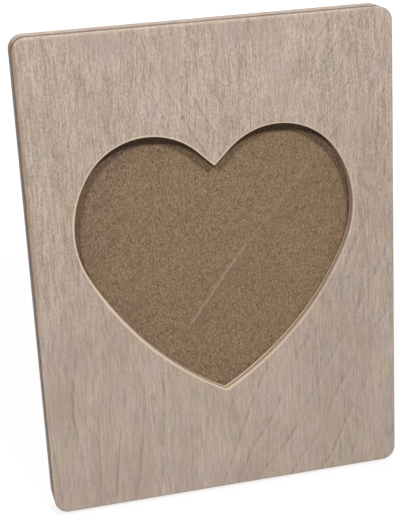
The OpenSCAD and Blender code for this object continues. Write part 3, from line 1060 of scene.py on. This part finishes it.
def pale_line_mark(tree, vector, shade, look):
    """A pale straight line across the board's front, with a darker band along its lower right side."""
    start, end = Vector((51.3, 0, 47.9)), Vector((-18.0, 0, -29.0))
    way = (end - start).normalized()
    from_start = vector_maths(tree, "SUBTRACT", vector, start)
    part = maths(tree, "DIVIDE", reach_along(tree, from_start, way), (end - start).length)
    off = reach_along(tree, from_start, Vector((way.z, 0, -way.x)))
    front = maths(tree, "LESS_THAN", axes(tree, vector)["Y"], (BOARD_LOW.y + BOARD_HIGH.y) / 2)
    ends = times(tree, ramp(tree, part, -0.02, 0.06), ramp(tree, part, 0.93, 1.01, 1.0, 0.0), front)
    waver = wavering(tree, vector, size=12, detail=1, seed=1.1, reach=0.5)
    bend = ramp(tree, part, 0.55, 1.05, 0.0, 2.6)
    away = size_of(tree, plus(tree, off, waver, bend))
    strength = plus(tree, 0.34, ramp(tree, part, 0.4, 0.68, 0.0, 0.5))
    patchy_line = ramp(tree, clouds(tree, vector, size=1.6, detail=1, rough=0.5, seed=3.6), 0.36, 0.56, 0.35, 1.0)
    line = times(tree, ramp(tree, away, 0.15, 0.85, 1.0, 0.0), ends, strength, patchy_line)
    # A darker band along the line's lower right side
    patchy = ramp(tree, clouds(tree, vector, size=9, detail=2, rough=0.5, seed=2.6), 0.32, 0.62, 0.0, 0.38)
    smear = times(tree, ramp(tree, off, -0.3, -2.2), ramp(tree, off, -12.0, -4.0), ends, patchy)
    return mixed(tree, line, mixed(tree, smear, shade, look.bruise), look.mark)


def clear_sheet():
    """Clear coated glass with faint smears, that lets the lamps' light through to the board."""
    material, tree, shader, vector = new_material("clear_sheet", PANEL)
    smears = placed_group(tree, shared_group("Smudges"), {"Vector": vector})
    shader.inputs["Base Color"].default_value = (0.97, 0.975, 0.97, 1)
    shader.inputs["Transmission Weight"].default_value = 1.0
    shader.inputs["IOR"].default_value = 1.15
    feed(tree, shader.inputs["Roughness"], smears["Roughness"])
    through = tree.nodes.new("ShaderNodeBsdfTransparent")
    through.inputs["Color"].default_value = (0.95, 0.955, 0.95, 1)
    path = tree.nodes.new("ShaderNodeLightPath")
    chosen = shader.outputs[0]
    for kind in ("Is Diffuse Ray", "Is Shadow Ray"):
        choice = tree.nodes.new("ShaderNodeMixShader")
        for socket, value in zip(choice.inputs, (path.outputs[kind], chosen, through.outputs[0])):
            feed(tree, socket, value)
        chosen = choice.outputs[0]
    tree.links.new(chosen, tree.nodes["Material Output"].inputs["Surface"])
    return material


def plated(name, place, bright, size):
    """Plated steel, with haze and fine scratches of about that size in millimetres."""
    found = bpy.data.materials.get(name)
    if found:
        return found
    material, tree, shader, vector = new_material(name, place)
    plating = placed_group(tree, shared_group("Plating"), {
        "Vector": vector, "Bright": bright, "Dull": settings("metal_look").dull, "Size": size})
    shader.inputs["Metallic"].default_value = 1.0
    feed(tree, shader.inputs["Base Color"], plating["Color"])
    feed(tree, shader.inputs["Roughness"], plating["Roughness"])
    bump(tree, shader, plating["Height"], strength=0.12, distance=0.00005)
    return material


# Pieces


class PHOTO_FRAME_OT_front_panel(bpy.types.Operator):
    """Build the plywood front panel with its heart shaped window"""

    bl_idname = "photo_frame.front_panel"
    bl_label = "Front Panel"

    def execute(self, context):
        sizes = settings("wood_sizes")
        outer = spaced(rounded(*face_size(FRONT_LOW, FRONT_HIGH), WOOD.corner_radius))
        panel = plate("plywood_front", [outer, spaced(heart())], 0.0, FRONT_HIGH.y,
                      [WOOD.front_arris, WOOD.window_arris], WOOD.seam_arris, sizes.sanding,
                      [sizes.front_slope, sizes.window_slope], [no_wider, lower_left])
        look = plywood("front_plywood", 0.0, FRONT_HIGH.y, VENEER.ply, figure=1.0, pale=0.86, crossed=1.0)
        placed(panel, PANEL, "front_panel", look)
        return {"FINISHED"}


class PHOTO_FRAME_OT_rear_frame(bpy.types.Operator):
    """Build the rear frame with its pocket, its ledge and the notch for the strut"""

    bl_idname = "photo_frame.rear_frame"
    bl_label = "Rear Frame"

    def execute(self, context):
        sizes = settings("wood_sizes")
        width, height = face_size(REAR_LOW, REAR_HIGH)
        outer = spaced(rounded(width, height, WOOD.corner_radius))
        body = plate("wooden_rear_frame", [outer], REAR_LOW.y, REAR_HIGH.y,
                     WOOD.seam_arris, WOOD.back_arris, sizes.sanding)
        play = WOOD.pocket_radius - BOARD.corner_radius
        pocket = Vector(face_size(BOARD_LOW, BOARD_HIGH)) + 2 * Vector((play, play))
        ledge = 2 * pivot("button_turn_upper_right").x - pocket.x
        recess = pocket + 2 * Vector((ledge, ledge))
        ledge_depth, back = BOARD_HIGH.y, REAR_HIGH.y + PAST
        cuts = [plate("pocket", [rounded(*pocket, WOOD.pocket_radius)],
                      REAR_LOW.y - PAST, ledge_depth + PAST, near_arris=0.0),
                plate("recess", [rounded(*recess, WOOD.ledge_radius)], ledge_depth, back, near_arris=0.0)]
        notch = STRUT_HIGH.x - STRUT_LOW.x + 2 * WOOD.notch_play
        cuts.append(plate("notch", [rounded(notch, height / 2, SHARP, (0, -height / 2))],
                          ledge_depth, back, near_arris=0.0))
        for row, side in CORNERS:
            at = pivot(f"button_turn_{row}_{side}")
            hole = circle((at.x, at.z), HARDWARE.screw_radius + HARDWARE.hole_play)
            cuts.append(plate("pilot", [hole], SCREW_LOW.y, ledge_depth + PAST, near_arris=0.0))
        combined(body, cuts, "DIFFERENCE")
        softened(body, WOOD.inner_arris, steps=3)
        look = plywood("rear_plywood", REAR_LOW.y, REAR_HIGH.y, VENEER.rear_ply, figure=0.7, pale=0.2,
                       crossed=0.5)
        placed(body, PANEL, "rear_frame", look)
        return {"FINISHED"}


class PHOTO_FRAME_OT_glazing(bpy.types.Operator):
    """Build the clear sheet that covers the photo"""

    bl_idname = "photo_frame.glazing"
    bl_label = "Clear Sheet"

    def execute(self, context):
        outline = rounded(*face_size(SHEET_LOW, SHEET_HIGH), BOARD.corner_radius)
        sheet = plate("clear_cover_sheet", [outline], SHEET_LOW.y, SHEET_HIGH.y, BOARD.sheet_arris)
        placed(sheet, PANEL, "glazing", clear_sheet())
        return {"FINISHED"}


def rivet_holes(height):
    """Outlines of the two holes that a pair of rivets goes through."""
    radius = HARDWARE.rivet_radius + HARDWARE.hole_play
    offset = HARDWARE.rivet_offset
    return [circle((sign * offset, height), radius, clockwise=True) for sign in SIDE_SIGN.values()]


def rivet_height():
    """Distance of the rivets from the hinge axis."""
    return HARDWARE.leaf_clear + HARDWARE.leaf_height / 2


class PHOTO_FRAME_OT_backing_board(bpy.types.Operator):
    """Build the hardboard that closes the back"""

    bl_idname = "photo_frame.backing_board"
    bl_label = "Backing Board"

    def execute(self, context):
        outline = rounded(*face_size(BOARD_LOW, BOARD_HIGH), BOARD.corner_radius)
        board = plate("hardboard_backing", [outline, *rivet_holes(HINGE_AT.z + rivet_height())],
                      BOARD_LOW.y, BOARD_HIGH.y, BOARD.board_arris)
        placed(board, PANEL, "backing_board", hardboard("marked_hardboard", PANEL, True))
        return {"FINISHED"}


class PHOTO_FRAME_OT_strut(bpy.types.Operator):
    """Build the easel strut with its forked top and its two toes"""

    bl_idname = "photo_frame.strut"
    bl_label = "Easel Strut"

    def execute(self, context):
        top, foot = BOARD.strut_top / 2, STRUT_HIGH.x
        arch, rise = BOARD.arch_width / 2, BOARD.arch_rise
        fork = PIN_HIGH.x + BOARD.fork_side
        fork_down, heel, base = BOARD.fork_down, STRUT_HIGH.z, STRUT_LOW.z
        arch_r, spread = bulge(arch, rise)
        toes = arc((0, base + rise - arch_r), arch_r, math.pi / 2 + spread, math.pi / 2 - spread,
                   ARC_STEP / 1.5)
        outline = [Vector((-foot, base)), *toes, Vector((foot, base)), Vector((top, heel)),
                   Vector((fork, heel)), Vector((fork, -fork_down)), Vector((-fork, -fork_down)),
                   Vector((-fork, heel)), Vector((-top, heel))]
        strut = plate("easel_strut", [outline, *rivet_holes(-rivet_height())], STRUT_LOW.y, STRUT_HIGH.y,
                      BOARD.board_arris)
        # Both toes are cut level with the table
        down = LEG.inverted().to_3x3() @ Vector((0, 0, 1))
        floor = LEG.inverted() @ Vector((0, 0, 0))
        for vertex in strut.data.vertices:
            lowest = floor.z - (vertex.co.y - floor.y) * down.y / down.z
            vertex.co.z = max(vertex.co.z, lowest)
        placed(strut, LEG, "strut", hardboard("easel_hardboard", LEG))
        return {"FINISHED"}


def leaf(name, node, place, near, up, knuckles):
    """A hinge leaf: a plate with round corners whose knuckles roll round the pin."""
    clear, height = HARDWARE.leaf_clear, HARDWARE.leaf_height
    thick, corner = HARDWARE.leaf_thickness, HARDWARE.leaf_corner
    width = LEAF_HIGH.x - LEAF_LOW.x
    middle = up * (clear + height / 2)
    sheet = plate(name, [rounded(width, height, corner, (0, middle)), *rivet_holes(up * rivet_height())],
                  near, near + thick, near_arris=0.0)
    roll_r = HARDWARE.knuckle_radius - thick / 2
    end_turn = 2 * math.pi - settings("hardware_sizes").roll_open
    line = [Vector((near + thick / 2, up * z)) for z in (clear + 2 * thick, clear, clear - thick / 2)]
    line += [Vector((-roll_r * math.cos(turn), -up * roll_r * math.sin(turn)))
             for turn in (end_turn * i / ROLL_STEPS for i in range(ROLL_STEPS + 1))]
    rolls = [rolled("roll", line, thick, start, end) for start, end in knuckles]
    combined(sheet, rolls, "UNION")
    softened(sheet, thick / 8, steps=2)
    look = plated("plated_hinge_" + node, place, settings("metal_look").bright, size=3.0)
    placed(sheet, place, node, look)


class PHOTO_FRAME_OT_hinge(bpy.types.Operator):
    """Build the hinge: a leaf on the board, a leaf on the strut and the pin between them"""

    bl_idname = "photo_frame.hinge"
    bl_label = "Strut Hinge"

    def execute(self, context):
        half, inner = LEAF_HIGH.x, HARDWARE.middle_knuckle / 2
        outer = inner + HARDWARE.knuckle_gap
        leaf("hinge_leaf_on_board", "hinge_board_leaf", HINGE, LEAF_LOW.y, 1,
             [(-half, -outer), (outer, half)])
        leaf("hinge_leaf_on_strut", "hinge_strut_leaf", LEG, -HARDWARE.knuckle_radius, -1,
             [(-inner, inner)])
        radius, head = HARDWARE.pin_radius, HARDWARE.pin_head
        end, head_r = PIN_HIGH.x, PIN_HIGH.z
        # An upset end's flat, its shoulder and its side, as shares of the head's length and radius
        upset = ((0.0, 0.0), (0.0, 0.55), (0.3, 0.92), (0.6, 1.0), (1.0, 1.0))
        half_profile = [(end - head * run, head_r * out) for run, out in upset] + [(end - head, radius)]
        profile = [(-depth, r) for depth, r in half_profile] + half_profile[::-1]
        pin = turned("hinge_rod", profile)
        pin.data.transform(Matrix.Rotation(-math.pi / 2, 4, "Z"))
        look = plated("plated_rod", HINGE, settings("metal_look").dull, size=2.0)
        placed(pin, HINGE, "hinge_pin", look)
        return {"FINISHED"}


class PHOTO_FRAME_OT_rivets(bpy.types.Operator):
    """Build the four domed rivets that hold the hinge leaves"""

    bl_idname = "photo_frame.rivets"
    bl_label = "Rivets"

    def execute(self, context):
        head_r, rise = HARDWARE.rivet_head, HARDWARE.rivet_rise
        shank, chamfer = HARDWARE.rivet_radius, HARDWARE.rivet_chamfer
        rim = HARDWARE.rivet_rim
        for kind, place, up in (("board", HINGE, 1), ("strut", LEG, -1)):
            look = plated(f"plated_rivet_{kind}", place, settings("metal_look").steel, size=1.6)
            for side, sign in SIDE_SIGN.items():
                node = f"{kind}_rivet_{side}"
                low, high = spans(place, node)
                under = high.y - rise
                profile = [(low.y, 0.0), (low.y, shank - chamfer), (low.y + chamfer, shank),
                           (under, shank), (under, head_r - chamfer / 2), (under + rim, head_r),
                           *dome(high.y, head_r, rise), (high.y, 0.0)]
                rivet = turned(f"rivet_{kind}_{side}", profile)
                across = sign * HARDWARE.rivet_offset
                at = place @ Matrix.Translation((across, 0, up * rivet_height()))
                placed(rivet, at, node, look)
        return {"FINISHED"}


class PHOTO_FRAME_OT_turn_buttons(bpy.types.Operator):
    """Build the four turn buttons that hold the backing board and their slotted screws"""

    bl_idname = "photo_frame.turn_buttons"
    bl_label = "Turn Buttons"

    def execute(self, context):
        half = HARDWARE.button_width / 2
        hole = HARDWARE.screw_radius + HARDWARE.hole_play
        reach = BUTTON_HIGH.x - BUTTON_LOW.x - 2 * half
        quarter = math.pi / 2
        for row, side in CORNERS:
            name, sign = f"{row}_{side}", SIDE_SIGN[side]
            place = PANEL @ Matrix.Translation(pivot("button_turn_" + name))
            low, high = spans(place, "turn_button_" + name)
            outline = arc((0, 0), half, -quarter, quarter)
            outline += arc((-reach, 0), half, quarter, 3 * quarter)
            if sign < 0:
                outline = [Vector((-p.x, p.y)) for p in outline[::-1]]
            button = plate("button_" + name, [spaced(outline), circle((0, 0), hole, clockwise=True)],
                           low.y, high.y, HARDWARE.button_arris)
            look = plated("plated_button", PANEL, settings("metal_look").bright, size=3.5)
            placed(button, place, "turn_button_" + name, look)
            self.screw(name, place)
        return {"FINISHED"}

    def screw(self, name, place):
        """A slotted screw with a rounded head and a pointed shank."""
        node = "button_screw_" + name
        low, high = spans(place, node)
        shank, head_r = HARDWARE.screw_radius, high.x
        edge, point = HARDWARE.screw_rim, HARDWARE.screw_point
        under = high.y - HARDWARE.screw_head
        rim = (high.y + under) / 2
        profile = [(low.y, 0.0), (low.y, shank / 4), (low.y + point, shank), (under, shank),
                   (under, head_r - edge), (under + edge, head_r), (rim, head_r),
                   *dome(high.y, head_r, high.y - rim), (high.y, 0.0)]
        screw = turned("screw_" + name, profile)
        slot = plate("slot", [rounded(3 * head_r, HARDWARE.slot_width, SHARP)], rim, high.y + PAST,
                     near_arris=0.0)
        slot.data.transform(Matrix.Rotation(noise.random() * math.pi, 4, "Y"))
        combined(screw, [slot], "DIFFERENCE")
        softened(screw, HARDWARE.screw_arris, steps=2)
        look = plated("plated_screw", PANEL, settings("metal_look").steel, size=1.4)
        placed(screw, place, node, look)


# Stage


def camera_like(tree):
    """1 for rays from the camera, and for those that a gloss or a clear sheet sends on, but not for
    light that a dull surface gathers through the clear sheet."""
    path = tree.nodes.new("ShaderNodeLightPath")
    seen = maths(tree, "MAXIMUM", path.outputs["Is Camera Ray"], path.outputs["Is Glossy Ray"])
    seen = maths(tree, "MAXIMUM", seen, path.outputs["Is Transmission Ray"])
    return times(tree, seen, maths(tree, "LESS_THAN", path.outputs["Diffuse Depth"], 0.5))


def aimed(thing, place, way):
    """Sets a camera or a light in its place, looking the given way."""
    thing.location = place
    thing.rotation_mode = "QUATERNION"
    thing.rotation_quaternion = way.to_track_quat("-Z", "Y")


def soft_light(name, watts, size, place, target):
    """A square area light that looks at a point."""
    data = bpy.data.lights.new(name, "AREA")
    data.energy, data.size = watts, size
    aimed(in_scene(name, data), place, target - Vector(place))


class PHOTO_FRAME_OT_stage(bpy.types.Operator):
    """Set the camera, the pale floor, the background and the soft lights"""

    bl_idname = "photo_frame.stage"
    bl_label = "Stage"

    def execute(self, context):
        look = settings("stage_look")
        scene = context.scene
        scene.view_settings.view_transform = "Standard"
        lens = bpy.data.cameras.new("photo_camera")
        lens.lens, lens.sensor_width = look.focal, 36.0
        lens.clip_start, lens.clip_end = 0.01, 50.0
        camera = in_scene("photo_camera", lens)
        aimed(camera, look.camera_place, Vector(look.camera_aim))
        scene.camera = camera
        self.floor(look)
        self.background(look)
        middle = (CAD_BOX[0] + CAD_BOX[1]) / 2
        for side in ("left", "right", "back"):
            watts, width, place = (getattr(look, f"{side}_{part}") for part in ("power", "size", "place"))
            soft_light(side + "_light", watts, width, place, middle)
        return {"FINISHED"}

    def floor(self, look):
        """A pale floor that renders white where it is lit and keeps the frame's shadow."""
        mesh = bmesh.new()
        bmesh.ops.create_grid(mesh, x_segments=1, y_segments=1, size=look.floor_side)
        data = bpy.data.meshes.new("floor")
        mesh.to_mesh(data)
        mesh.free()
        floor = in_scene("floor", data)
        material, tree, shader, vector = new_material("pale_floor", Matrix.Identity(4))
        shader.inputs["Base Color"].default_value = (*look.floor_colour, 1)
        shader.inputs["Roughness"].default_value = 0.9
        shader.inputs["Specular IOR Level"].default_value = 0.1
        shader.inputs["Emission Color"].default_value = (1, 1, 1, 1)
        # A little less than white near the frame, so that its shadow shows
        glow = ramp(tree, vector_maths(tree, "LENGTH", vector, output="Value"), 0.2, 0.9, 0.82, 1.0)
        feed(tree, shader.inputs["Emission Strength"], times(tree, camera_like(tree), glow))
        data.materials.append(material)

    def background(self, look):
        """White to the camera, and the soft ambient light all round."""
        world = bpy.data.worlds.new("studio")
        world.use_nodes = True
        tree = world.node_tree
        shade = mixed(tree, camera_like(tree), look.ambient, (1, 1, 1))
        feed(tree, tree.nodes["Background"].inputs["Color"], shade)
        bpy.context.scene.world = world


class PHOTO_FRAME_PT_panel(bpy.types.Panel):
    """Lists the pieces of the photo frame"""

    bl_label = "Heart Photo Frame"
    bl_idname = "PHOTO_FRAME_PT_panel"
    bl_space_type = "VIEW_3D"
    bl_region_type = "UI"
    bl_category = "Photo Frame"

    def draw(self, context):
        for operator in OPERATORS:
            self.layout.operator(operator.bl_idname)


OPERATORS = [
    PHOTO_FRAME_OT_stage,
    PHOTO_FRAME_OT_front_panel,
    PHOTO_FRAME_OT_rear_frame,
    PHOTO_FRAME_OT_glazing,
    PHOTO_FRAME_OT_backing_board,
    PHOTO_FRAME_OT_strut,
    PHOTO_FRAME_OT_hinge,
    PHOTO_FRAME_OT_rivets,
    PHOTO_FRAME_OT_turn_buttons,
]
CLASSES = [*GROUPS.values(), *OPERATORS, PHOTO_FRAME_PT_panel]


def register():
    """Registers the classes and adds the property groups to the scene."""
    for item in CLASSES:
        bpy.utils.register_class(item)
    for name, group in GROUPS.items():
        setattr(bpy.types.Scene, "photo_frame_" + name, PointerProperty(type=group))


def unregister():
    """Removes what register added."""
    for name in GROUPS:
        delattr(bpy.types.Scene, "photo_frame_" + name)
    for item in reversed(CLASSES):
        bpy.utils.unregister_class(item)


def main():
    """Builds the whole frame and its stage."""
    register()
    noise.seed_set(settings("stage_look").seed)
    bpy.ops.photo_frame.stage()
    bpy.ops.photo_frame.front_panel()
    bpy.ops.photo_frame.rear_frame()
    bpy.ops.photo_frame.glazing()
    bpy.ops.photo_frame.backing_board()
    bpy.ops.photo_frame.strut()
    bpy.ops.photo_frame.hinge()
    bpy.ops.photo_frame.rivets()
    bpy.ops.photo_frame.turn_buttons()


if __name__ == "__main__":
    main()
